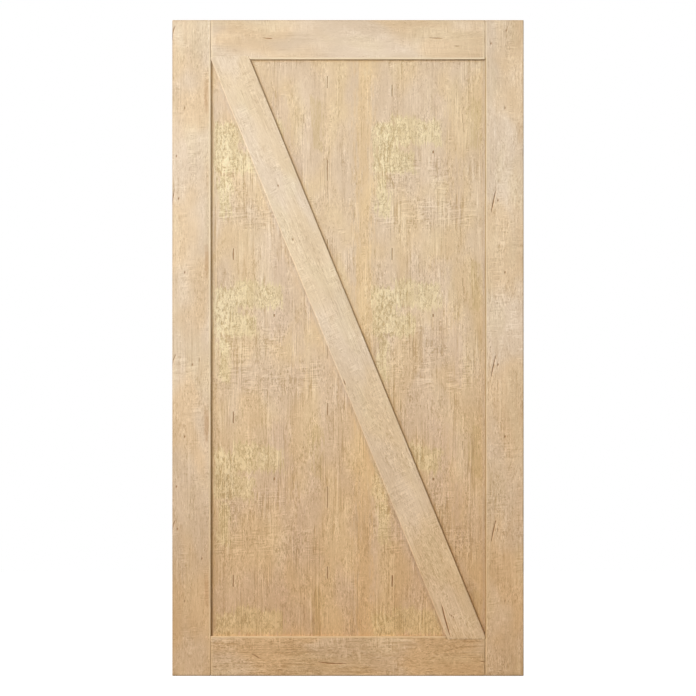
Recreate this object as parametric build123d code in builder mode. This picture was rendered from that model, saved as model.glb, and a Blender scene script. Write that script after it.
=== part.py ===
"""Wooden sliding door leaf: a jointed frame, one flat panel and a diagonal brace on each face.

Lengths are in millimetres. Seen from the front, X runs to the right, Y away from the viewer
and Z up. The origin is at the middle of the top edge, where the door hangs.
"""

import os
from math import asin, atan2, cos, hypot, tan

from build123d import *

# Whole door
door_width = 1143.0
door_height = 2134.0
door_thickness = 35.0

# Frame: the stiles run the full height and the rails fit between them
stile_width = 125.0
top_rail_width = 128.0
bottom_rail_width = 130.0
edge_radius = 2.5  # eased edges, which leave a fine V line where a rail meets a stile

# Panel, held in a groove around the inside of the frame
panel_thickness = 19.0
panel_groove_depth = 13.0
cheek_clearance = 0.1  # between a cheek of the groove and the panel or a tenon
panel_play = 1.5  # room for the panel to swell at its sides and its top
tenon_end_gap = 1.0  # between the end of a rail's tenon and the floor of the stile's groove

# Braces, planted on the panel, level with the face of the frame and let into both rails
brace_width = 118.0
brace_housing = 11.0  # how far each end runs into its rail
brace_fit = 0.1  # between a brace and the frame around it

# Groove along the bottom edge, which runs over a guide fixed to the floor
guide_groove_width = 12.7
guide_groove_depth = 19.0

# Sizes that follow from those above
opening_width = door_width - 2 * stile_width
opening_height = door_height - top_rail_width - bottom_rail_width
opening_top = -top_rail_width
opening_bottom = opening_top - opening_height
panel_groove_width = panel_thickness + 2 * cheek_clearance
tenon_length = panel_groove_depth - tenon_end_gap
recess_depth = (door_thickness - panel_thickness) / 2


def make_rail(bottom_edge, rail_width, groove_bottom):
    """A rail with a full-height tenon at each end, and the panel groove cut through both."""
    with BuildPart() as rail:
        with BuildSketch(Plane.XY.offset(bottom_edge)):
            Rectangle(opening_width, door_thickness)
        extrude(amount=rail_width)
        fillet(rail.edges(), radius=edge_radius)
        with BuildSketch(Plane.XY.offset(bottom_edge)):
            Rectangle(opening_width + 2 * tenon_length, panel_thickness)
        extrude(amount=rail_width)
        with BuildSketch(Plane.XY.offset(groove_bottom)):
            Rectangle(door_width, panel_groove_width)
        extrude(amount=panel_groove_depth, mode=Mode.SUBTRACT)
    return rail


# Outline of a brace, about the middle of the opening. Each long edge runs through a corner of
# the opening, so the slope is that of the diagonal less the angle that the board's own width
# takes up. The level ends lie in the rails, and a short upright edge keeps each tip off a stile.
half_span = opening_width / 2 - brace_fit
half_rise = opening_height / 2
end_height = half_rise + brace_housing - brace_fit
slope = atan2(half_span, half_rise) - asin(brace_width / 2 / hypot(half_span, half_rise))
level_width = brace_width / cos(slope)
drift = (end_height - half_rise) * tan(slope)
with BuildSketch() as brace_outline:
    with BuildLine():
        Polyline(
            (-half_span, half_rise),
            (-half_span, end_height),
            (-half_span + level_width - drift, end_height),
            (half_span, -half_rise),
            (half_span, -end_height),
            (half_span - level_width + drift, -end_height),
            close=True,
        )
    make_face()

with BuildSketch() as housing_outline:
    add(brace_outline.sketch)
    offset(amount=brace_fit, kind=Kind.INTERSECTION)

opening_centre = (opening_top + opening_bottom) / 2
front_face = Plane((0, -panel_thickness / 2, opening_centre), x_dir=(1, 0, 0), z_dir=(0, -1, 0))
back_face = Plane((0, panel_thickness / 2, opening_centre), x_dir=(-1, 0, 0), z_dir=(0, 1, 0))


def make_brace(face):
    """A brace that stands on one face of the panel, with its long edges eased."""
    with BuildPart() as brace:
        with BuildSketch(face):
            add(brace_outline.sketch)
        extrude(amount=recess_depth)
        outer_face = brace.faces().sort_by(Axis(face.origin, face.z_dir))[-1]
        fillet(outer_face.edges().filter_by(Axis.X, reverse=True), radius=edge_radius)
    return brace


# Space that a brace and its fit take up on each face, cut from both rails
with BuildPart() as brace_housings:
    with BuildSketch(front_face, back_face):
        add(housing_outline.sketch)
    extrude(amount=recess_depth)

# Space of the guide groove, cut from each piece that it passes through
with BuildPart() as guide_space:
    with BuildSketch(Plane.XY.offset(-door_height)):
        Rectangle(door_width, guide_groove_width)
    extrude(amount=guide_groove_depth)

with BuildPart() as left_stile:
    with BuildSketch(Plane.XY.offset(-door_height)):
        with Locations((-(door_width - stile_width) / 2, 0)):
            Rectangle(stile_width, door_thickness)
    extrude(amount=door_height)
    fillet(left_stile.edges(), radius=edge_radius)
    with BuildSketch(Plane.XY.offset(-door_height)):
        with Locations((-(opening_width + panel_groove_depth) / 2, 0)):
            Rectangle(panel_groove_depth, panel_groove_width)
    extrude(amount=door_height, mode=Mode.SUBTRACT)
    add(guide_space.part, mode=Mode.SUBTRACT)

with BuildPart() as right_stile:
    mirror(left_stile.part, about=Plane.YZ)

with BuildPart() as top_rail:
    add(make_rail(opening_top, top_rail_width, opening_top).part)
    add(brace_housings.part, mode=Mode.SUBTRACT)

with BuildPart() as bottom_rail:
    add(make_rail(-door_height, bottom_rail_width, opening_bottom - panel_groove_depth).part)
    add(brace_housings.part, mode=Mode.SUBTRACT)
    add(guide_space.part, mode=Mode.SUBTRACT)

# The panel stands on the floor of the bottom rail's groove
with BuildPart() as panel:
    with BuildSketch(Plane.XY.offset(opening_bottom - panel_groove_depth)):
        Rectangle(opening_width + 2 * (panel_groove_depth - panel_play), panel_thickness)
    extrude(amount=opening_height + 2 * panel_groove_depth - panel_play)

front_brace = make_brace(front_face)
back_brace = make_brace(back_face)

left_stile.part.label = "left_stile"
right_stile.part.label = "right_stile"
top_rail.part.label = "top_rail"
bottom_rail.part.label = "bottom_rail"
panel.part.label = "panel"
front_brace.part.label = "front_brace"
back_brace.part.label = "back_brace"

os.makedirs("parts", exist_ok=True)
export_step(left_stile.part, "parts/left_stile.step")
export_step(right_stile.part, "parts/right_stile.step")
export_step(top_rail.part, "parts/top_rail.step")
export_step(bottom_rail.part, "parts/bottom_rail.step")
export_step(panel.part, "parts/panel.step")
export_step(front_brace.part, "parts/front_brace.step")
export_step(back_brace.part, "parts/back_brace.step")
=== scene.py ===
# %% [markdown]
# # A wooden sliding door leaf
# The door is a frame of two stiles and two rails around one flat panel, with a diagonal brace on
# each face. Its solids come packed, in metres, with the origin at the middle of the top edge,
# X to the right, Y away from the viewer and Z up. This script wears the boards, gives them their
# faded, rubbed wood, and sets up the camera and light of the photograph.

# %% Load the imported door
import math

import bmesh
import bpy
import numpy as np
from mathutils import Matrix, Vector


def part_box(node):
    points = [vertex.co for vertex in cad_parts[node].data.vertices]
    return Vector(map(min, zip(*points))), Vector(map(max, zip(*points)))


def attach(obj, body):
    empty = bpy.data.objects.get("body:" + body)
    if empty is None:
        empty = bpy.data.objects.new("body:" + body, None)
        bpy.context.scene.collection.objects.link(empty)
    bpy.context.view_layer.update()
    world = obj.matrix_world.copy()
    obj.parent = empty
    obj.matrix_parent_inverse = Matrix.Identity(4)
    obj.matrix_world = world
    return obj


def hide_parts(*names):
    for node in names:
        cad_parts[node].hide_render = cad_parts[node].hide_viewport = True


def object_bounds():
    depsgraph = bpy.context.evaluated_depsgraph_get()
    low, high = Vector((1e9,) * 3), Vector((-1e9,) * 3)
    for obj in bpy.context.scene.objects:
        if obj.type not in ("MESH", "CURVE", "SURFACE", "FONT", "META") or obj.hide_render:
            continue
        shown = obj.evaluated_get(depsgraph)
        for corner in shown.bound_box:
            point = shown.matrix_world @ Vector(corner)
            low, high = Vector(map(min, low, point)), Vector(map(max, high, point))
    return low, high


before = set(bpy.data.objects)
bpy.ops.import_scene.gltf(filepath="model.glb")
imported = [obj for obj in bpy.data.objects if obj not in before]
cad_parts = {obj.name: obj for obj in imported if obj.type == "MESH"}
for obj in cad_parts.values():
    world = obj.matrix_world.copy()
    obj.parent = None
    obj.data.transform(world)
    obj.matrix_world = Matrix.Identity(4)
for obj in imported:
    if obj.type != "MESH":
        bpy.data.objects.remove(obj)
cad_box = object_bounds()
door_bottom, door_top = cad_box[0][2], cad_box[1][2]
front_y = cad_box[0][1]
print("door box", cad_box)

# %% [markdown]
# ## Camera
# The photograph looks straight at the door and shows none of its sides, so it was taken from far
# away with a long lens. The door's height takes up a known share of the picture, and the lens
# and that share give the distance.

# %% Camera in front of the door's middle
picture_px = 696
door_px = 656
lens_mm = 200.0
sensor_mm = 36.0

door_height = door_top - door_bottom
view_width = door_height * picture_px / door_px
camera_distance = view_width * lens_mm / sensor_mm

camera_data = bpy.data.cameras.new("camera")
camera_data.lens = lens_mm
camera_data.sensor_width = sensor_mm
camera = bpy.data.objects.new("camera", camera_data)
camera.location = (0.0, front_y - camera_distance, (door_top + door_bottom) / 2)
camera.rotation_euler = (math.radians(90), 0.0, 0.0)
bpy.context.scene.collection.objects.link(camera)
bpy.context.scene.camera = camera
bpy.context.scene.view_settings.view_transform = "Standard"
print("camera", round(camera_distance, 2), "m in front of the door")

# %% [markdown]
# ## Light
# The shadows in the recess fall to the right and a little down. They start crisp and go on as a
# faint, wide shade, so there are two lights from the left: a small one and, lower over the door,
# a very broad one. A softbox high in front makes the upper half the brightest, and an even fill
# keeps the shadows warm and open. A broad light from behind shows the back and the right side,
# which the photograph leaves out, and doesn't reach the front.

# %% Key light, side light, back light and softbox
shadow_right, shadow_down = 0.96, 0.68  # how far a shadow falls for each metre of depth
key_strength, key_width = 1.58, math.radians(6)
side_direction = (2.6, 1.0, -1.2)
side_strength, side_width = 1.5, math.radians(35)
back_direction = (-0.8, -1.0, -0.6)
back_strength, back_width = 2.2, math.radians(35)
fill_strength = 0.32
softbox_power = 10.2
softbox_size = 1.2
softbox_place = (-1.05, -2.0, -0.3)
softbox_target = (-0.3, 0.0, -0.5)


def add_lamp(name, kind, start, target, **settings):
    """Place a lamp at start and turn its -Z axis to look along the line to target."""
    lamp_data = bpy.data.lights.new(name, kind)
    for setting, value in settings.items():
        setattr(lamp_data, setting, value)
    line = np.array(target) - np.array(start)
    tilt = math.atan2(math.hypot(line[0], line[1]), -line[2])
    lamp = bpy.data.objects.new(name, lamp_data)
    lamp.location = start
    lamp.rotation_euler = (tilt, 0.0, math.atan2(-line[0], line[1]))
    bpy.context.scene.collection.objects.link(lamp)


add_lamp("key", "SUN", (-shadow_right, -1.0, shadow_down), (0.0, 0.0, 0.0),
         energy=key_strength, angle=key_width)
add_lamp("side", "SUN", (0.0, 0.0, 0.0), side_direction, energy=side_strength, angle=side_width)
add_lamp("back", "SUN", (0.0, 0.0, 0.0), back_direction, energy=back_strength, angle=back_width)
add_lamp("softbox", "AREA", softbox_place, softbox_target, energy=softbox_power, size=softbox_size)
print("key", key_strength, "side", side_strength, "back", back_strength,
      "softbox", softbox_power, "W")

# %% [markdown]
# ## Node helpers
# Materials are built from nodes. These helpers add a node and link or set its inputs, so that
# each recipe below reads as a list of steps.

# %% Helpers for node trees
FLOAT, COLOR, VECTOR = "NodeSocketFloat", "NodeSocketColor", "NodeSocketVector"


def fill_socket(tree, socket, value):
    """Link a socket, or set it to a number, a vector or a colour."""
    if isinstance(value, bpy.types.NodeSocket):
        tree.links.new(value, socket)
    elif socket.type == "RGBA" and len(value) == 3:
        socket.default_value = (*value, 1.0)
    else:
        socket.default_value = value


def place(tree, kind, inputs=(), **settings):
    """Add a node, set its properties, then fill the inputs given by name or number."""
    node = tree.nodes.new(kind)
    for setting, value in settings.items():
        setattr(node, setting, value)
    for socket_name, value in dict(inputs).items():
        fill_socket(tree, node.inputs[socket_name], value)
    return node


def calc(tree, operation, first, second=0.0):
    """One Math node."""
    return place(tree, "ShaderNodeMath", {0: first, 1: second}, operation=operation).outputs[0]


def remap(tree, value, low, high, new_low=0.0, new_high=1.0):
    """Smooth step from low to high, as a Map Range node."""
    inputs = {"Value": value, "From Min": low, "From Max": high,
              "To Min": new_low, "To Max": new_high}
    node = place(tree, "ShaderNodeMapRange", inputs, interpolation_type="SMOOTHSTEP")
    return node.outputs["Result"]


def blend(tree, amount, first, second, mode="MIX"):
    """Mix two colours by an amount from 0 to 1."""
    node = place(tree, "ShaderNodeMix", {0: amount, 6: first, 7: second},
                 data_type="RGBA", blend_type=mode)
    return node.outputs[2]


def total(tree, *terms):
    """The sum of each value times its amount."""
    result = 0.0
    for value, amount in terms:
        result = calc(tree, "ADD", calc(tree, "MULTIPLY", value, amount), result)
    return result


def times(tree, first, *others):
    """The product of some values."""
    for value in others:
        first = calc(tree, "MULTIPLY", first, value)
    return first


def stretched(tree, vector, scale):
    """A point with each coordinate times its own scale."""
    node = place(tree, "ShaderNodeVectorMath", {0: vector, 1: scale}, operation="MULTIPLY")
    return node.outputs[0]


def noise(tree, vector, scale, detail=2.0, roughness=0.5, distortion=0.0):
    """Noise with its own scale along each axis, in lumps for each metre."""
    inputs = {"Vector": stretched(tree, vector, scale), "Scale": 1.0, "Detail": detail,
              "Roughness": roughness, "Distortion": distortion}
    return place(tree, "ShaderNodeTexNoise", inputs).outputs["Fac"]


def thin_line(tree, value, level, half_width):
    """1 along the line where a noise crosses a level, and 0 beside it."""
    away = calc(tree, "ABSOLUTE", calc(tree, "SUBTRACT", value, level))
    return remap(tree, away, half_width, 0.0)


def new_group(name, inputs, outputs):
    """An empty node group with its sockets; returns the tree, its inputs and its outputs."""
    tree = bpy.data.node_groups.new(name, "ShaderNodeTree")
    for socket_name, kind in inputs.items():
        tree.interface.new_socket(socket_name, in_out="INPUT", socket_type=kind)
    for socket_name, kind in outputs.items():
        tree.interface.new_socket(socket_name, in_out="OUTPUT", socket_type=kind)
    return tree, place(tree, "NodeGroupInput").outputs, place(tree, "NodeGroupOutput").inputs


def use(tree, group, inputs):
    """Place a node group, fill its inputs and return its outputs."""
    return place(tree, "ShaderNodeGroup", node_tree=group, inputs=inputs).outputs


# %% [markdown]
# ## World and floor
# The background is pure white where the camera or a reflection sees it, while the light that
# it gives stays at the level of the fill. The door hangs a little above a floor that looks white
# for the same reason: it glows for the camera alone, and keeps a faint shadow of the door.

# %% World that looks white and lights softly
world = bpy.data.worlds.new("studio")
bpy.context.scene.world = world
world.use_nodes = True
tree = world.node_tree
tree.nodes.clear()
path = place(tree, "ShaderNodeLightPath").outputs
seen = calc(tree, "MAXIMUM", path["Is Camera Ray"], path["Is Glossy Ray"])
seen = calc(tree, "MAXIMUM", seen, path["Is Transmission Ray"])
strength = remap(tree, seen, 0.0, 1.0, fill_strength, 1.0)
background = place(tree, "ShaderNodeBackground", {"Color": (1.0, 1.0, 1.0), "Strength": strength})
place(tree, "ShaderNodeOutputWorld", {"Surface": background.outputs[0]})

# %% Floor under the hanging door
floor_gap = 0.012
floor_size = 12.0
floor_glow = 0.975
floor_color = (0.12, 0.12, 0.12)

reach = floor_size / 2
floor_z = door_bottom - floor_gap
floor_mesh = bpy.data.meshes.new("floor")
floor_mesh.from_pydata([(-reach, -reach, floor_z), (reach, -reach, floor_z),
                        (reach, reach, floor_z), (-reach, reach, floor_z)], [], [(0, 1, 2, 3)])
floor = bpy.data.objects.new("floor", floor_mesh)
bpy.context.scene.collection.objects.link(floor)

floor_material = bpy.data.materials.new("pale_floor")
floor_material.use_nodes = True
tree = floor_material.node_tree
tree.nodes.clear()
path = place(tree, "ShaderNodeLightPath").outputs
seen = calc(tree, "MAXIMUM", path["Is Camera Ray"], path["Is Glossy Ray"])
glow = place(tree, "ShaderNodeEmission", {"Strength": calc(tree, "MULTIPLY", seen, floor_glow)})
paint = place(tree, "ShaderNodeBsdfDiffuse", {"Color": floor_color})
both = place(tree, "ShaderNodeAddShader", {0: paint.outputs[0], 1: glow.outputs[0]})
place(tree, "ShaderNodeOutputMaterial", {"Surface": both.outputs[0]})
floor_mesh.materials.append(floor_material)
print("floor", round(floor_gap * 1000), "mm below the door")

# %% [markdown]
# ## The boards
# Each stile, rail and brace is one board. To wear its faces and to run its grain along it, the
# script needs the board's own frame: how far a point lies across the board and along it. A brace
# slopes less than the diagonal of the opening, because its own width takes up a part of the way.

# %% A board and its own frame
brace_width = 0.118


def box_of(node_name):
    """Lowest and highest corner of a node, as arrays."""
    return (np.array(corner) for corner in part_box(node_name))


class Board:
    """A board that is turned about Y from the upright, with its faces at low_y and high_y."""

    def __init__(self, node_name, turn, width=None, body_length=None):
        low, high = box_of(node_name)
        span, _, rise = high - low
        self.name, self.turn = node_name, turn
        self.middle_x, _, self.middle_z = (low + high) / 2
        self.low_y, self.high_y = low[1], high[1]
        self.cos, self.sin = math.cos(turn), math.sin(turn)
        self.half_length = (span * abs(self.sin) + rise * self.cos) / 2
        self.half_width = (width or span * self.cos + rise * abs(self.sin)) / 2
        self.half_body = (body_length or 2 * self.half_length) / 2

    def local(self, x, z):
        """How far a point lies across the board and along it, from the board's middle."""
        right, up = x - self.middle_x, z - self.middle_z
        return right * self.cos + up * self.sin, up * self.cos - right * self.sin

    def placed(self, across, along):
        """x and z of a point that is given across the board and along it."""
        return (self.middle_x + across * self.cos - along * self.sin,
                self.middle_z + across * self.sin + along * self.cos)


# %% The six boards
recess_left, recess_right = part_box("left_stile")[1][0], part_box("right_stile")[0][0]
recess_low, recess_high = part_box("bottom_rail")[1][2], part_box("top_rail")[0][2]
opening_width, opening_height = recess_right - recess_left, recess_high - recess_low
slope = math.atan2(opening_width, opening_height) - math.asin(
    brace_width / math.hypot(opening_width, opening_height))
level = math.radians(-90)

boards = {board.name: board for board in (
    Board("left_stile", 0.0),
    Board("right_stile", 0.0),
    Board("top_rail", level, body_length=opening_width),
    Board("bottom_rail", level, body_length=opening_width),
    Board("front_brace", slope, width=brace_width),
    Board("back_brace", -slope, width=brace_width),
)}
print("braces slope", round(math.degrees(slope), 1), "degrees from the upright")

# %% [markdown]
# ## Wear, as a shape
# The boards' faces aren't flat: the saw left slow waves, the softer grain has worn down, the
# edges are rubbed uneven, and there are a few checks, which are cracks along the grain, and pin
# knots. All of it is a depth below the sawn face, worked out for whole arrays of points across
# and along the board. The same functions later colour the checks and the edges.

# %% Smooth noise over a board
lattice = 97


def smooth_step(low, high, value):
    """0 below low, 1 above high, and t * t * (3 - 2 * t) between them."""
    share = np.clip((value - low) / (high - low), 0.0, 1.0)
    return share * share * (3.0 - 2.0 * share)


def board_noise(across, along, cell, seed):
    """Random numbers on a lattice of cells, each blended smoothly into the next."""
    table = np.random.default_rng(seed).random((lattice, lattice))
    column, row = across / cell[0], along / cell[1]
    left, below = np.floor(column).astype(int), np.floor(row).astype(int)
    to_right, to_above = smooth_step(0, 1, column - left), smooth_step(0, 1, row - below)

    def corner(step_right, step_up):
        return table[(left + step_right) % lattice, (below + step_up) % lattice]

    lower = corner(0, 0) * (1 - to_right) + corner(1, 0) * to_right
    upper = corner(0, 1) * (1 - to_right) + corner(1, 1) * to_right
    return lower * (1 - to_above) + upper * to_above


# %% Checks and pin knots, read from the photograph, as x and z on the door
knot_radius = 0.0035
mark_repeat = 0.536  # on the stiles some marks come back at this distance


def repeated(x, z, first=0):
    """A point and its repeats down the stile, from the first that shows."""
    return [(x, z - mark_repeat * turn) for turn in range(first, 4)]


pin_knots = {
    "left_stile": [(-0.551, -0.582), (-0.555, -1.657), (-0.558, -0.444), (-0.558, -1.519),
                   (-0.475, -1.750), (-0.483, -1.106), (-0.506, -1.119),
                   *repeated(-0.531, -0.284)],
    "right_stile": [(0.515, -0.036), (0.465, -0.078),
                    *repeated(0.511, -0.284), *repeated(0.488, -0.050, first=1)],
    "top_rail": [(0.355, -0.085)],
    "bottom_rail": [(-0.433, -2.105)],
    "front_brace": [(-0.227, -0.540), (-0.1805, -0.712)],
    "back_brace": [(0.227, -0.540), (0.1805, -0.712)],
}

# Each check has a start, an end, a width and how far it bows to one side
edge_checks = zip(repeated(-0.561, -0.018), repeated(-0.5695, -0.066))
face_checks = zip(repeated(0.4815, -0.019, first=1), repeated(0.467, -0.087, first=1))
brace_checks = [((0.305, -1.900), (0.3334, -2.004), 0.0052, 0.002),
                ((0.331, -1.934), (0.347, -1.945), 0.004, 0.0),
                ((-0.013, -1.172), (-0.008, -1.188), 0.004, 0.0)]
checks = {
    "left_stile": [(start, end, 0.0036, 0.004) for start, end in edge_checks],
    "right_stile": [(start, end, 0.0040, 0.001) for start, end in face_checks],
    "top_rail": [((-0.276, -0.058), (-0.245, -0.060), 0.0034, 0.001),
                 ((0.263, -0.058), (0.309, -0.060), 0.0034, 0.0)],
    "bottom_rail": [((-0.311, -2.062), (-0.286, -2.077), 0.004, 0.0),
                    ((-0.095, -2.088), (-0.008, -2.093), 0.004, 0.003),
                    ((0.430, -2.087), (0.446, -2.089), 0.004, 0.0)],
    "front_brace": brace_checks,
    "back_brace": [((-start[0], start[1]), (-end[0], end[1]), width, -bow)
                   for start, end, width, bow in brace_checks],
}


# %% Masks of the marks
check_core, check_tip = 0.35, 0.4  # shares of a check's width: its full dark, and its tips
knot_core, knot_squash = 0.3, 0.7  # a knot's full dark, and a length that makes it an oval


def fading(distance, width, core):
    """1 as far as the core, a share of the width, then smoothly down to 0 at the width."""
    return 1.0 - smooth_step(core * width, width, distance)


def check_mask(across, along, start, end, width, bow):
    """1 on a check and 0 beside it: a parabola from start to end, thinner towards both ends."""
    chord = end[0] - start[0], end[1] - start[1]
    length = math.hypot(*chord)
    share = ((across - start[0]) * chord[0] + (along - start[1]) * chord[1]) / length**2
    inside = np.clip(share, 0.0, 1.0)
    arch = 4.0 * inside * (1.0 - inside)
    beside = ((across - start[0]) * chord[1] - (along - start[1]) * chord[0]) / length - bow * arch
    distance = np.hypot(beside, (share - inside) * length)
    half_width = width / 2 * (check_tip + (1.0 - check_tip) * np.sqrt(arch))
    return fading(distance, half_width, check_core)


def split_mask(board, across, along):
    """The darkest of the board's checks and pin knots at each point."""
    mask = np.zeros_like(across)
    for x, z in pin_knots[board.name]:
        knot_across, knot_along = board.local(x, z)
        distance = np.hypot(across - knot_across, (along - knot_along) * knot_squash)
        mask = np.maximum(mask, fading(distance, knot_radius, knot_core))
    for start, end, width, bow in checks[board.name]:
        line = check_mask(across, along, board.local(*start), board.local(*end), width, bow)
        mask = np.maximum(mask, line)
    return mask


# %% Depth of the wear
sawn_depth = 0.00003
wave_cell, wave_depth = (0.035, 0.21), 0.00022
fibre_cell, fibre_depth = (0.0042, 0.075), 0.00011
nick_cell, nick_depth, nick_range = (0.0055, 0.018), 0.00035, (0.86, 0.96)
rub_cell, rub_depth, rub_range, rub_width = (0.02, 0.045), 0.0013, (0.35, 0.95), 0.005
split_depth = 0.0016
first_seed = 410


def distance_to_edge(board, across, along):
    """How far a point lies inside the nearest long edge or end of the board."""
    return np.minimum(board.half_width - np.abs(across), board.half_body - np.abs(along))


def worn_depth(board, across, along, face):
    """Waves, soft grain, nicks, rubbed edges and splits, added up."""
    seed = first_seed + 10 * list(boards).index(board.name) + face
    waves = board_noise(across, along, wave_cell, seed)
    fibres = board_noise(across, along, fibre_cell, seed + 2)
    nicks = smooth_step(*nick_range, board_noise(across, along, nick_cell, seed + 4))
    rubbed = smooth_step(*rub_range, board_noise(across, along, rub_cell, seed + 6))
    edge = fading(distance_to_edge(board, across, along), rub_width, core=0.0)
    return (sawn_depth + wave_depth * waves + fibre_depth * fibres + nick_depth * nicks
            + rub_depth * rubbed * edge**2 + split_depth * split_mask(board, across, along))


# %% [markdown]
# ## Cutting the worn boards
# Each worn board starts as a closed slab that is a little larger than the board, with its front
# and back as fine grids that carry the wear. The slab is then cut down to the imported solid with
# a Boolean, which keeps the solid's grooves, tenons and rounded edges just where they are.

# %% Closed slab with a worn face on each side
column_step = 0.00125
row_step = 0.006
spare = 0.002


def worn_slab(board, front_worn, back_worn):
    """Two grids, columns across and rows along, y = face -/+ depth, and walls round the rim.

    A brace's face against the panel isn't worn: it stands a little proud, to be cut off flat.
    """
    half_width, half_length = board.half_width + spare, board.half_length + spare
    columns, rows = int(2 * half_width / column_step) + 1, int(2 * half_length / row_step) + 1
    across, along = np.meshgrid(np.linspace(-half_width, half_width, columns),
                                np.linspace(-half_length, half_length, rows))
    x, z = board.placed(across, along)
    front = board.low_y + worn_depth(board, across, along, 0) if front_worn else board.low_y - spare
    back = board.high_y - worn_depth(board, across, along, 1) if back_worn else board.high_y + spare
    layers = [np.stack([x, np.broadcast_to(y, x.shape), z], axis=-1).reshape(-1, 3)
              for y in (front, back)]

    index = np.arange(rows * columns).reshape(rows, columns)
    quads = np.stack([index[:-1, :-1], index[:-1, 1:], index[1:, 1:], index[1:, :-1]], axis=-1)
    quads = quads.reshape(-1, 4)
    rim = np.concatenate([index[0, :-1], index[:-1, -1], index[-1, :0:-1], index[:0:-1, 0]])
    following, behind = np.roll(rim, -1), rows * columns
    walls = np.stack([rim, rim + behind, following + behind, following], axis=-1)
    faces = np.concatenate([quads, quads[:, ::-1] + behind, walls])
    return np.concatenate(layers), faces


def mesh_from_arrays(name, points, quads):
    """A mesh of quads, filled by foreach_set."""
    mesh = bpy.data.meshes.new(name)
    mesh.vertices.add(len(points))
    mesh.vertices.foreach_set("co", points.ravel())
    mesh.loops.add(quads.size)
    mesh.loops.foreach_set("vertex_index", quads.ravel())
    mesh.polygons.add(len(quads))
    mesh.polygons.foreach_set("loop_start", np.arange(0, quads.size, 4))
    mesh.update(calc_edges=True)
    return mesh


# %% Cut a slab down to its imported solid
same_point = 1e-6
smooth_angle = math.radians(32)


def joined_copy(node_name):
    """A copy of a node's mesh with its loose triangles joined."""
    shape = bmesh.new()
    shape.from_mesh(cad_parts[node_name].data)
    bmesh.ops.remove_doubles(shape, verts=shape.verts, dist=same_point)
    mesh = bpy.data.meshes.new(node_name + "_solid")
    shape.to_mesh(mesh)
    shape.free()
    return mesh


def cut_to_solid(slab_mesh, node_name):
    """The part of the slab that lies inside the node's solid, as a new mesh."""
    slab = bpy.data.objects.new("slab", slab_mesh)
    solid = bpy.data.objects.new("solid", joined_copy(node_name))
    for scratch in (slab, solid):
        bpy.context.scene.collection.objects.link(scratch)
    cut = slab.modifiers.new("cut", "BOOLEAN")
    cut.operation, cut.solver, cut.object = "INTERSECT", "MANIFOLD", solid
    evaluated = slab.evaluated_get(bpy.context.evaluated_depsgraph_get())
    mesh = bpy.data.meshes.new_from_object(evaluated)
    for scratch in (slab, solid):
        scratch_mesh = scratch.data
        bpy.data.objects.remove(scratch)
        bpy.data.meshes.remove(scratch_mesh)
    return mesh


# %% Masks that the finish reads from the mesh
face_band = 0.0003  # how deep below the sawn face a point still counts as on the face
fillet_depth, fillet_core = 0.0024, 0.7
# How wide each mask is, and what share of that is full before it fades
arris_width, arris_core = 0.0068, 0.7
grime_width, grime_core = 0.0018, 0.3
lit_width, lit_core = 0.0034, 0.6  # a stile's edge that faces the light
outline_width, outline_core = 0.0048, 0.4
# Strengths of the darkening, dirt at joints and painted shade elsewhere, and of the pale bands,
# rubbed with a painted highlight, at joints and on a brace
joint_grime, lit_gap_shade, outline_darkening, bottom_shade = 0.8, 1.75, 0.8, 0.6
joint_arris, brace_arris = 0.5, 0.08


def store_masks(board, mesh):
    """Keep as attributes how split each vertex is, how pale and how dark its edge is.

    Edges beside the recess are rubbed pale and carry a painted highlight. At a joint between two
    boards the rounded edge itself holds dirt, with such a paler band beside it. A stile's edge that
    faces the light is darkened the same way, as painted shade of the gap beside the panel. The
    door's outline is a little darker, and painted shade darkens its bottom most, which faces away
    from the light.
    """
    points = np.empty(len(mesh.vertices) * 3)
    mesh.vertices.foreach_get("co", points)
    x, y, z = points.reshape(-1, 3).T
    across, along = board.local(x, z)
    sunk = np.minimum(np.abs(y - board.low_y), np.abs(y - board.high_y))
    split = split_mask(board, across, along) * (sunk < split_depth + face_band)

    inside = distance_to_edge(board, across, along)
    near_face = fading(sunk, fillet_depth, fillet_core)
    band = fading(inside, arris_width, arris_core) * near_face
    rounding = joint_grime * fading(inside, grime_width, grime_core) * near_face
    from_outline = np.minimum(cad_box[1][0] - np.abs(x), np.minimum(door_top - z, z - door_bottom))
    outline = from_outline < arris_width
    recess = (z > recess_low - arris_width) & (z < recess_high + arris_width) & ~outline
    joint = ~outline & ~recess
    if board.name.endswith("stile"):
        # A stile's edge that faces the light gets painted shade, for the gap beside the panel
        lit = recess & ((x > 0.0) == (y < 0.0))
        rounding = np.where(lit, lit_gap_shade * fading(inside, lit_width, lit_core), rounding)
        joint = joint | lit
    rim = fading(from_outline, outline_width, outline_core)
    # Painted shade: the outline's bottom is darker, as it faces away from the light
    rim = rim * (1.0 + bottom_shade * (z < door_bottom + outline_width))
    grime = rounding * joint + outline_darkening * rim
    # The pale band is rubbed wood with a painted highlight
    recess_arris = brace_arris if board.name.endswith("brace") else 1.0
    clean = np.clip(1.0 - rounding * joint, 0.0, 1.0)
    arris = band * (recess_arris * recess + joint_arris * joint * ~recess) * clean
    for name, values in (("split", split), ("arris", arris), ("grime", grime)):
        attribute = mesh.attributes.new(name, "FLOAT", "POINT")
        attribute.data.foreach_set("value", values.astype(np.float32))


# %% Make the worn boards
worn_boards = {}
for board in boards.values():
    points, quads = worn_slab(board, front_worn=board.name != "back_brace",
                              back_worn=board.name != "front_brace")
    mesh = cut_to_solid(mesh_from_arrays(board.name + "_slab", points, quads), board.name)
    mesh.name = "worn_" + board.name
    mesh.materials.clear()
    mesh.shade_smooth()
    mesh.set_sharp_from_angle(angle=smooth_angle)
    store_masks(board, mesh)
    piece = bpy.data.objects.new("worn_" + board.name, mesh)
    bpy.context.scene.collection.objects.link(piece)
    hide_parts(board.name)
    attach(piece, "root")
    worn_boards[board.name] = piece
    print(piece.name, len(mesh.polygons), "faces")

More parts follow.
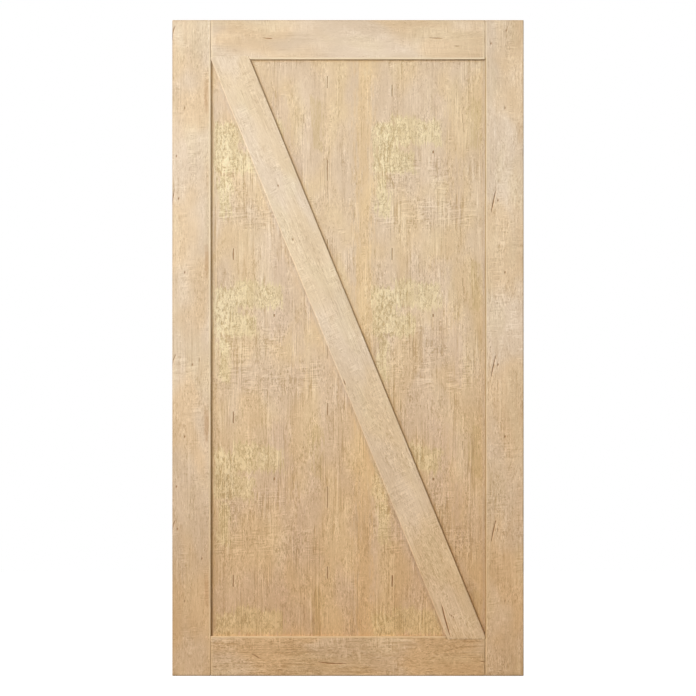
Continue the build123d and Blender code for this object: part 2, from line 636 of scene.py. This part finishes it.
# %% [markdown]
# ## The wood
# Every piece is the same pale, faded wood, roughly sawn and rubbed. Its look is a few effects on
# top of each other: broad light and dark shades, thin lines along the grain, specks and pits
# where the surface is rubbed, soft patches of warmer and cooler colour, and faint saw marks
# across the grain. Each effect is a node group that reads a point in the board's own frame, with
# Z along the grain, so a rail's grain runs along the rail.

# %% Light and dark grain
shade_scale, fibre_scale = (13, 13, 5), (420, 420, 14)
line_scale, lined_scale = (150, 150, 3.6), (24, 24, 7)
speck_scale, pit_scale, rubbed_scale = (270, 270, 70), (115, 115, 46), (22, 22, 9)
pale_line, dark_line = (0.43, 0.05), (0.57, 0.05)  # level and half width
# From which level of the noise to which a mark fades in
noise_range, lined_range, rubbed_range = (0.3, 0.7), (0.42, 0.60), (0.40, 0.64)
pale_speck, dark_speck = (0.55, 0.64), (0.45, 0.36)
pit_rim, pit_middle, pitted_from = (0.45, 0.25), (0.24, 0.10), 0.55
# How strong the lines and the specks are in the smoothest and in the roughest places
lined_amount, rubbed_amount = (0.15, 1.3), (0.45, 1.15)


def make_grain_group():
    """Noises drawn out along Z: broad shades, thin lines, and specks and pits where it is rubbed.

    Each is times its amount, and 0 where the wood has its plain colour. Relief adds up the fine
    ones. A pit is the middle of a Voronoi cell, dark within a pale rim.
    """
    tree, given, out = new_group(
        "grain",
        {"Vector": VECTOR, "Shades": FLOAT, "Lines": FLOAT, "Specks": FLOAT, "Pits": FLOAT},
        {"Shade": FLOAT, "Relief": FLOAT, "Fibres": FLOAT})
    where = given["Vector"]
    shades = remap(tree, noise(tree, where, shade_scale, roughness=0.6), *noise_range, -0.5, 0.5)
    rings = noise(tree, where, line_scale, detail=1.0)
    lines = total(tree, (thin_line(tree, rings, *pale_line), 0.5),
                  (thin_line(tree, rings, *dark_line), -0.55))
    lined = remap(tree, noise(tree, where, lined_scale, detail=1.0), *lined_range, *lined_amount)
    specks = noise(tree, where, speck_scale, roughness=0.8)
    specks = total(tree, (remap(tree, specks, *pale_speck), 0.5),
                   (remap(tree, specks, *dark_speck), -0.5))
    rubbed = remap(tree, noise(tree, where, rubbed_scale), *rubbed_range, *rubbed_amount)
    cell = place(tree, "ShaderNodeTexVoronoi",
                 {"Vector": stretched(tree, where, pit_scale), "Scale": 1.0}).outputs
    pitted = calc(tree, "GREATER_THAN", cell["Color"], pitted_from)
    pits = total(tree, (remap(tree, cell["Distance"], *pit_rim), 0.5),
                 (remap(tree, cell["Distance"], *pit_middle), -1.5))
    relief = total(tree, (times(tree, lines, lined), given["Lines"]),
                   (times(tree, specks, rubbed), given["Specks"]),
                   (times(tree, pits, pitted, rubbed), given["Pits"]))
    fibres = remap(tree, noise(tree, where, fibre_scale, roughness=0.6), *noise_range)
    tree.links.new(times(tree, shades, given["Shades"]), out["Shade"])
    tree.links.new(relief, out["Relief"])
    tree.links.new(fibres, out["Fibres"])
    return tree


grain_group = make_grain_group()


# %% Soft patches of warmer and cooler wood
drift_scale, straw_scale, tone_distortion = (10, 10, 5), (12, 12, 5), 0.3
warm_range, straw_range = (0.36, 0.64), (0.48, 0.68)
wave_amount = 0.12


def make_tone_group():
    """Blend cool to warm by a slow noise and a wave along the board, then add straw by a noise."""
    tree, given, out = new_group(
        "wood tone",
        {"Vector": VECTOR, "Cool": COLOR, "Warm": COLOR, "Straw": COLOR,
         "Wave": FLOAT, "Straw Amount": FLOAT},
        {"Color": COLOR})
    where = given["Vector"]
    drift = noise(tree, where, drift_scale, detail=1.0, distortion=tone_distortion)
    drift = total(tree, (drift, 1.0), (given["Wave"], wave_amount))
    color = blend(tree, remap(tree, drift, *warm_range), given["Cool"], given["Warm"])
    yellow = noise(tree, where, straw_scale, detail=1.5, distortion=tone_distortion)
    yellow = times(tree, remap(tree, yellow, *straw_range), given["Straw Amount"])
    tree.links.new(blend(tree, yellow, color, given["Straw"]), out["Color"])
    return tree


tone_group = make_tone_group()


# %% Lighter and darker wood
# Gains of the darkest and of the palest wood, in red, green and blue
shade_gains = (0.76, 0.70, 0.60), (1.25, 1.29, 1.32)
mark_gains = (0.80, 0.72, 0.59), (1.25, 1.28, 1.30)


def make_light_group():
    """Multiply a colour by a gain for broad shades and one for fine marks, each about 1 at 0."""
    tree, given, out = new_group(
        "lit wood", {"Color": COLOR, "Shade": FLOAT, "Marks": FLOAT}, {"Color": COLOR})
    color = given["Color"]
    for value, (dark, pale) in ((given["Shade"], shade_gains), (given["Marks"], mark_gains)):
        gain = blend(tree, calc(tree, "ADD", value, 0.5), dark, pale)
        color = blend(tree, 1.0, color, gain, "MULTIPLY")
    tree.links.new(color, out["Color"])
    return tree


light_group = make_light_group()


# %% Saw marks across the grain
saw_tilt = math.radians(4)
saw_scale, zone_scale = (10, 10, 95), (26, 26, 12)
saw_ridge, saw_groove = (0.54, 0.06), (0.46, 0.03)  # level and half width
zone_range = 0.72, 0.86


def make_saw_group():
    """Short lines nearly across Z that fade in and out: a pale ridge above a dark groove."""
    tree, given, out = new_group(
        "saw marks", {"Vector": VECTOR, "Coverage": FLOAT}, {"Marks": FLOAT})
    tilted = place(tree, "ShaderNodeMapping",
                   {"Vector": given["Vector"], "Rotation": (0.0, saw_tilt, 0.0)})
    lines = noise(tree, tilted.outputs[0], saw_scale, roughness=0.6)
    zones = noise(tree, given["Vector"], zone_scale, roughness=0.6)
    zones = remap(tree, calc(tree, "ADD", zones, given["Coverage"]), *zone_range)
    marks = total(tree, (thin_line(tree, lines, *saw_ridge), 0.5),
                  (thin_line(tree, lines, *saw_groove), -0.5))
    tree.links.new(times(tree, marks, zones), out["Marks"])
    return tree


saw_group = make_saw_group()


# %% The lower half, with painted shade that darkens and warms it
lower_shade_from, lower_shade_to = -0.45, -2.45  # heights at which the tint starts and is full
lower_shade_lean, lower_shade_drift, lower_shade_scale = -0.15, 0.2, (3, 3, 3)


def make_lower_shade_group():
    """Painted shade: multiply the colour by a golden tint that comes in downwards, sooner on the
    right.
    """
    tree, given, out = new_group(
        "painted lower shade", {"Color": COLOR, "Vector": VECTOR, "Tint": COLOR}, {"Color": COLOR})
    at = place(tree, "ShaderNodeSeparateXYZ", {0: given["Vector"]}).outputs
    drift = noise(tree, given["Vector"], lower_shade_scale)
    height = total(tree, (at[2], 1.0), (at[0], lower_shade_lean), (drift, lower_shade_drift))
    amount = remap(tree, height, lower_shade_from, lower_shade_to)
    tinted = blend(tree, 1.0, given["Color"], given["Tint"], "MULTIPLY")
    tree.links.new(blend(tree, amount, given["Color"], tinted), out["Color"])
    return tree


lower_shade_group = make_lower_shade_group()


# %% A soft-edged rectangle, for marks that have a place
fray_scale = (120, 120, 14)


def make_place_group():
    """1 between Low and High across X and Z, 0 outside, with edges as soft as Softness."""
    tree, given, out = new_group(
        "marked place",
        {"Vector": VECTOR, "Low X": FLOAT, "High X": FLOAT, "Low Z": FLOAT, "High Z": FLOAT,
         "Softness": FLOAT},
        {"Mask": FLOAT})
    at = place(tree, "ShaderNodeSeparateXYZ", {0: given["Vector"]}).outputs
    edges = []
    for number, axis in ((0, "X"), (2, "Z")):
        low, high = given["Low " + axis], given["High " + axis]
        inner_low = calc(tree, "ADD", low, given["Softness"])
        inner_high = calc(tree, "SUBTRACT", high, given["Softness"])
        edges.append(remap(tree, at[number], low, inner_low))
        edges.append(remap(tree, at[number], high, inner_high))
    tree.links.new(times(tree, *edges), out["Mask"])
    return tree


place_group = make_place_group()


def frayed(tree, vector, where, amount):
    """Shift a point by noise, so that a mark's edges break up into streaks along the grain."""
    shift = noise(tree, where, fray_scale, detail=3.0, roughness=0.7)
    shift = times(tree, calc(tree, "SUBTRACT", shift, 0.5), amount)
    offset = place(tree, "ShaderNodeCombineXYZ", {0: shift, 2: shift}).outputs[0]
    node = place(tree, "ShaderNodeVectorMath", {0: vector, 1: offset}, operation="ADD")
    return node.outputs[0]


def mark(tree, vector, places, softness):
    """The largest of the places' masks, as one mask."""
    largest = 0.0
    for left, right, top, bottom in places:
        mask = use(tree, place_group, {"Vector": vector, "Low X": left, "High X": right,
                                       "Low Z": top, "High Z": bottom, "Softness": softness})
        largest = calc(tree, "MAXIMUM", mask["Mask"], largest)
    return largest

# %% [markdown]
# ## Material of a board
# A board's material differs from the next only in its colours, how rough it looks, the direction
# of its grain and which stretch of the pattern it shows. The masks on the mesh darken the checks,
# the knots and the edges, with dirt and painted shade, and lighten the rubbed edges, with a painted
# highlight.

# %% Wood of the boards
board_lines, board_specks, board_pits, board_saw = 0.30, 0.66, 0.36, 0.5
board_relief = 0.9, 1.25  # at the door's top and at its bottom
board_coverage, board_straw = 0.24, 0.4
wave_start = 0.856  # the first wave is this far above the board's middle

# Bumps are in millimetres, and roughness is that of the deepest and of the highest fibres
bump_distance, fibre_bump, relief_bump, saw_bump = 0.001, 0.04, 0.5, 0.4
fibre_roughness, wood_specular = (0.72, 0.55), 0.25

# Each mask on the mesh has a strength and a colour: a pale one for rubbed edges with a painted
# highlight, a dark one for dirt and painted shade, and the splits' colour
split_color = (0.30, 0.12, 0.02)
mesh_mask_tints = (("arris", 0.95, (0.98, 0.80, 0.55)), ("grime", 0.55, (0.38, 0.235, 0.085)),
              ("split", 0.9, split_color))

# Soft brown smears, as x and z of their middles, darkest where a short one lies on a long one
smears = {"left_stile": repeated(-0.460, -0.248)}
smear_half_width, smear_half_lengths, smear_softness = 0.010, (0.034, 0.058), 0.008
smear_fray, smear_strength, smear_color = 0.02, 0.35, (0.58, 0.37, 0.21)


def board_frame(tree, board, slide=0.0):
    """Object coordinates, and the same about the board's middle, upright and slid along X."""
    turned_x = board.middle_x * board.cos + board.middle_z * board.sin
    turned_z = board.middle_z * board.cos - board.middle_x * board.sin
    where = place(tree, "ShaderNodeTexCoord").outputs["Object"]
    mapping = place(tree, "ShaderNodeMapping",
                    {"Vector": where, "Location": (slide - turned_x, 0.0, -turned_z),
                     "Rotation": (0.0, board.turn, 0.0)})
    return where, mapping.outputs[0]


def new_wood(name):
    """A new material with an empty node tree."""
    material = bpy.data.materials.new(name)
    material.use_nodes = True
    material.node_tree.nodes.clear()
    return material, material.node_tree


def finish_wood(tree, color, height, fibres):
    """Connect colour, bump height, and the roughness of the fibres, to the shader."""
    height = total(tree, (height, 1.0), (fibres, fibre_bump))
    bump = place(tree, "ShaderNodeBump",
                 {"Height": height, "Strength": 1.0, "Distance": bump_distance})
    roughness = remap(tree, fibres, 0.0, 1.0, *fibre_roughness)
    surface = place(tree, "ShaderNodeBsdfPrincipled",
                    {"Base Color": color, "Roughness": roughness, "Normal": bump.outputs[0],
                     "Specular IOR Level": wood_specular})
    place(tree, "ShaderNodeOutputMaterial", {"Surface": surface.outputs[0]})


def tint(tree, color, mask, strength, new_color):
    """Blend in a new colour where the mask is."""
    return blend(tree, times(tree, mask, strength), color, new_color)


def rougher_below(tree, where, relief, at_top, at_bottom, rough=0.0):
    """Relief times an amount that grows down the door, and is more where it is rough."""
    height = place(tree, "ShaderNodeSeparateXYZ", {0: where}).outputs[2]
    amount = remap(tree, height, door_top, door_bottom, at_top, at_bottom)
    return times(tree, relief, calc(tree, "ADD", amount, rough))


def smeared(tree, color, where, board):
    """The colour with the board's brown smears."""
    streaked = frayed(tree, where, where, smear_fray)
    for half_length in smear_half_lengths:
        places = [(x - smear_half_width, x + smear_half_width, z - half_length, z + half_length)
                  for x, z in smears[board.name]]
        mask = mark(tree, streaked, places, smear_softness)
        color = tint(tree, color, mask, smear_strength, smear_color)
    return color


def board_wood(board, slide, texture, shades, lower_shade_tint, cool, warm, straw):
    """Pale worn wood with its grain along one board; texture is how rough it looks."""
    material, tree = new_wood(board.name + "_wood")
    where, along_board = board_frame(tree, board, slide)
    grain = use(tree, grain_group, {
        "Vector": along_board, "Shades": shades, "Lines": board_lines * texture,
        "Specks": board_specks * texture, "Pits": board_pits * texture})
    relief = rougher_below(tree, where, grain["Relief"], *board_relief)
    saw = use(tree, saw_group, {"Vector": along_board, "Coverage": board_coverage})["Marks"]
    along = place(tree, "ShaderNodeSeparateXYZ", {0: along_board}).outputs[2]
    turns = calc(tree, "DIVIDE", calc(tree, "SUBTRACT", along, wave_start), mark_repeat)
    wave = calc(tree, "COSINE", times(tree, turns, 2 * math.pi))
    color = use(tree, tone_group, {"Vector": along_board, "Cool": cool, "Warm": warm,
                                   "Straw": straw, "Wave": wave,
                                   "Straw Amount": board_straw})["Color"]
    if board.name in smears:
        color = smeared(tree, color, where, board)
    marks = total(tree, (relief, 1.0), (saw, board_saw * texture))
    color = use(tree, light_group,
                {"Color": color, "Shade": grain["Shade"], "Marks": marks})["Color"]
    # Rubbed edges with a painted highlight, dirt and painted shade at the edges, and splits
    for name, strength, new_color in mesh_mask_tints:
        mask = place(tree, "ShaderNodeAttribute", attribute_name=name).outputs["Fac"]
        color = tint(tree, color, mask, strength, new_color)
    # Painted shade: darker and warmer towards the bottom, sooner on the right
    color = use(tree, lower_shade_group, {"Color": color, "Vector": where, "Tint": lower_shade_tint})["Color"]
    finish_wood(tree, color, total(tree, (relief, relief_bump), (saw, saw_bump)), grain["Fibres"])
    return material


# %% Finish the boards
# Each finish is its broad shades, the painted shade tint of its lower half, and its cool, warm
# and straw colours
frame_finish = (0.28, (0.818, 0.652, 0.465),
                (0.808, 0.662, 0.527), (0.815, 0.63, 0.44), (0.805, 0.67, 0.48))
brace_finish = (0.20, (0.87, 0.712, 0.527),
                (0.826, 0.685, 0.548), (0.828, 0.668, 0.488), (0.828, 0.70, 0.508))
slides = {"left_stile": 1.3, "right_stile": 4.1, "top_rail": 7.7,
          "bottom_rail": 9.2, "front_brace": 13.0, "back_brace": 15.0}
textures = {"left_stile": 0.9, "right_stile": 1.1, "top_rail": 0.65,
            "bottom_rail": 1.8, "front_brace": 0.95, "back_brace": 0.95}
for name, piece in worn_boards.items():
    finish = brace_finish if name.endswith("brace") else frame_finish
    piece.data.materials.append(board_wood(boards[name], slides[name], textures[name], *finish))
print("boards finished:", ", ".join(worn_boards))

# %% [markdown]
# ## The panel
# The panel is one sheet whose worn pattern comes back every half metre across and down: a straw
# patch with pits, a zone of saw marks, dark checks and an orange band. A wrapped coordinate
# repeats them, and ordinary noise on top keeps any two repeats from being quite the same. Two
# soft tones come only once: a golden one, and painted shade along the right stile. Painted warm
# shade lies beside the boards that shade the panel, and painted shade beside the others. The
# sheet itself is flat, so it keeps its imported solid and gets a better material.

# %% Where the marks lie in one repeat, in metres from its upper left corner
repeat_across, repeat_down = 0.517, 0.532
repeat_left, repeat_top = -0.075, -0.169
# Each place is left, right, top and bottom
straw_places = [(0.150, 0.240, 0.160, 0.335), (0.215, 0.305, 0.138, 0.240),
                (0.290, 0.385, 0.150, 0.245), (0.200, 0.300, 0.250, 0.335),
                (0.165, 0.215, 0.330, 0.480)]
pit_places = [(0.145, 0.245, 0.140, 0.410), (0.235, 0.300, 0.210, 0.310),
              (0.285, 0.345, 0.125, 0.225)]
saw_places = [(0.150, 0.517, 0.395, 0.525), (0.170, 0.420, 0.270, 0.410)]
orange_places = [(0.085, 0.168, -0.200, 0.730)]
lavender_places = [(0.330, 0.415, 0.060, 0.360), (0.400, 0.460, 0.260, 0.500)]
tan_places = [(0.470, 0.516, 0.080, 0.260)]
dark_checks = [(0.2165, 0.2215, 0.040, 0.080), (0.006, 0.0105, 0.012, 0.053),
               (0.006, 0.0105, 0.285, 0.355), (0.349, 0.356, 0.255, 0.265)]
faint_checks = [(0.4480, 0.4520, 0.112, 0.122), (0.4465, 0.4505, 0.136, 0.166),
                (0.4505, 0.4545, 0.164, 0.196), (0.006, 0.0100, 0.350, 0.402)]
# Two soft tones that come once, given as left, right, bottom and top on the door: a golden one
# and painted shade along the right stile
golden_places = [(-0.120, 0.220, -1.640, -1.180)]
right_shade_places = [(0.350, 0.520, -2.200, 0.100)]


# %% Colours and amounts of the panel's marks
orange_color, tan_color = (0.83, 0.615, 0.36), (0.66, 0.50, 0.27)
# Each tone has its edge, its places, their softness, its strength and its colour
tones = (("ragged", lavender_places, 0.03, 0.5, (0.775, 0.61, 0.49)),
         ("ragged", orange_places, 0.035, 0.6, orange_color),
         ("ragged", tan_places, 0.015, 0.5, tan_color),
         ("torn", straw_places, 0.014, 0.65, (0.84, 0.71, 0.45)),
         ("still", golden_places, 0.13, 0.3, orange_color),
         # Painted shade along the right stile
         ("still", right_shade_places, 0.07, 0.18, tan_color))
ragged_fray, torn_fray, check_fray = 0.12, 0.09, 0.007
panel_grain = {"Shades": 0.18, "Lines": 0.72, "Specks": 1.05, "Pits": 0.38}
panel_relief, rough_relief = (0.62, 1.05), 0.32  # at the top and the bottom, and in rough places
panel_coverage, panel_straw, rough_softness = (0.12, 0.34), 0.3, 0.03

# The chips' noise, from which level to which they fade in, and the flakes' line
chip_scale, dark_chip, pale_chip = (150, 150, 60), (0.53, 0.60), (0.48, 0.40)
flake_scale, flake_top, flake_edge = (50, 50, 30), (0.50, 0.53), (0.485, 0.02)
flake_softness = 0.02

check_softness, check_strength, faint_share = 0.0013, 0.74, 0.5
rim_width, rim_strength, rim_color = 0.004, 0.35, (0.93, 0.79, 0.565)
# Painted warm shade lies in the shaded corners, and painted shade in the lit ones
warm_shade_width, warm_shade_strength, warm_shade_color = 0.013, 0.45, (0.78, 0.50, 0.20)
contact_shade_width, contact_shade_strength, contact_shade_color = 0.016, 0.3, (0.34, 0.33, 0.33)
# Tint of the painted shade that darkens and warms the lower half
panel_lower_shade = (0.828, 0.638, 0.44)
past_depth = 9.0  # far beyond the door's faces, so that depth isn't wrapped


# %% Wood of the panel
def wrapped(tree, where):
    """The point within its own repeat: X to the right and Z down, both from 0."""
    flipped = place(tree, "ShaderNodeMapping",
                    {"Vector": where, "Location": (-repeat_left, 0.0, repeat_top),
                     "Scale": (1.0, 1.0, -1.0)})
    node = place(tree, "ShaderNodeVectorMath",
                 {0: flipped.outputs[0], 1: (repeat_across, past_depth, repeat_down),
                  2: (0.0, -past_depth, 0.0)}, operation="WRAP")
    return node.outputs[0]


def recess_corner(tree, where, width, shaded):
    """1 at the foot of the boards that shade the panel, or of the others, and 0 at width away.

    The light comes from the viewer's upper left, whichever face is seen, so the top rail, one
    stile and one side of the brace shade the panel. The bottom rail's foot is never marked.
    """
    depth = place(tree, "ShaderNodeSeparateXYZ", {0: where}).outputs[1]
    low, high = recess_low - width, recess_high + (0.0 if shaded else width)
    faces = ((boards["front_brace"], "LESS_THAN", 1), (boards["back_brace"], "GREATER_THAN", -1))
    corner = 0.0
    for brace, on_face, shade_side in faces:
        toward = shade_side if shaded else -shade_side
        left, right = recess_left - width * (toward < 0), recess_right + width * (toward > 0)
        opening = mark(tree, where, [(left, right, low, high)], width)
        _, along_brace = board_frame(tree, brace)
        reach_x, reach_z = toward * (brace.half_width + width), brace.half_length + width
        beside = mark(tree, along_brace,
                      [(min(0.0, reach_x), max(0.0, reach_x), -reach_z, reach_z)], width)
        around = calc(tree, "MAXIMUM", calc(tree, "SUBTRACT", 1.0, opening), beside)
        around = times(tree, around, calc(tree, on_face, depth, 0.0))
        corner = calc(tree, "MAXIMUM", corner, around)
    return corner


def chipped(tree, where, edges):
    """Small chips in the pitted places, and flakes in the straw patches."""
    chips = noise(tree, where, chip_scale, roughness=0.8)
    chips = total(tree, (remap(tree, chips, *dark_chip), -0.5),
                  (remap(tree, chips, *pale_chip), 0.5))
    flakes = noise(tree, where, flake_scale, detail=3.0, roughness=0.7)
    flakes = total(tree, (remap(tree, flakes, *flake_top), 0.3),
                   (thin_line(tree, flakes, *flake_edge), -0.8))
    pitted = mark(tree, edges["ragged"], pit_places, rough_softness)
    flaked = mark(tree, edges["torn"], straw_places, flake_softness)
    return total(tree, (times(tree, chips, pitted), 1.0), (times(tree, flakes, flaked), 0.8))


def checked(tree, uneven):
    """The dark checks with the faint ones, and the pale rims of the dark ones."""
    rims = [(left - rim_width, right + rim_width, top, bottom)
            for left, right, top, bottom in dark_checks]
    faint = times(tree, mark(tree, uneven, faint_checks, check_softness), faint_share)
    split = calc(tree, "MAXIMUM", mark(tree, uneven, dark_checks, check_softness), faint)
    return split, mark(tree, uneven, rims, check_softness)


def panel_wood(cool, warm, straw):
    """Pale worn wood with the marks that come back in each repeat."""
    material, tree = new_wood("panel_wood")
    where = place(tree, "ShaderNodeTexCoord").outputs["Object"]
    in_repeat = wrapped(tree, where)
    edges = {"ragged": frayed(tree, in_repeat, where, ragged_fray),
             "torn": frayed(tree, in_repeat, where, torn_fray), "still": where}

    color = use(tree, tone_group, {"Vector": where, "Cool": cool, "Warm": warm, "Straw": straw,
                                   "Wave": 0.0, "Straw Amount": panel_straw})["Color"]
    for edge, places, softness, strength, new_color in tones:
        mask = mark(tree, edges[edge], places, softness)
        color = tint(tree, color, mask, strength, new_color)

    grain = use(tree, grain_group, {"Vector": where, **panel_grain})
    sawn = mark(tree, edges["ragged"], saw_places, rough_softness)
    flaky = mark(tree, edges["ragged"], straw_places, rough_softness)
    rough = times(tree, calc(tree, "MAXIMUM", sawn, flaky), rough_relief)
    relief = rougher_below(tree, where, grain["Relief"], *panel_relief, rough)
    coverage = remap(tree, sawn, 0.0, 1.0, *panel_coverage)
    saw = use(tree, saw_group, {"Vector": where, "Coverage": coverage})["Marks"]
    chips = chipped(tree, where, edges)
    marks = total(tree, (relief, 1.0), (saw, 0.75), (chips, 0.8))
    color = use(tree, light_group,
                {"Color": color, "Shade": grain["Shade"], "Marks": marks})["Color"]

    split, rims = checked(tree, frayed(tree, in_repeat, where, check_fray))
    shade = recess_corner(tree, where, warm_shade_width, shaded=True)
    foot = recess_corner(tree, where, contact_shade_width, shaded=False)
    color = tint(tree, color, rims, rim_strength, rim_color)
    color = tint(tree, color, split, check_strength, split_color)
    # Painted warm shade in the shaded corners and painted shade in the lit ones
    color = tint(tree, color, shade, warm_shade_strength, warm_shade_color)
    color = tint(tree, color, foot, contact_shade_strength, contact_shade_color)
    # Painted shade: darker and warmer towards the bottom, sooner on the right
    color = use(tree, lower_shade_group,
                {"Color": color, "Vector": where, "Tint": panel_lower_shade})["Color"]
    height = total(tree, (relief, 0.5), (saw, 0.5), (chips, 0.5), (split, -0.3))
    finish_wood(tree, color, height, grain["Fibres"])
    return material


panel_colors = (0.794, 0.631, 0.480), (0.805, 0.622, 0.421), (0.80, 0.653, 0.434)
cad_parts["panel"].material_slots[0].material = panel_wood(*panel_colors)
print("panel finished")
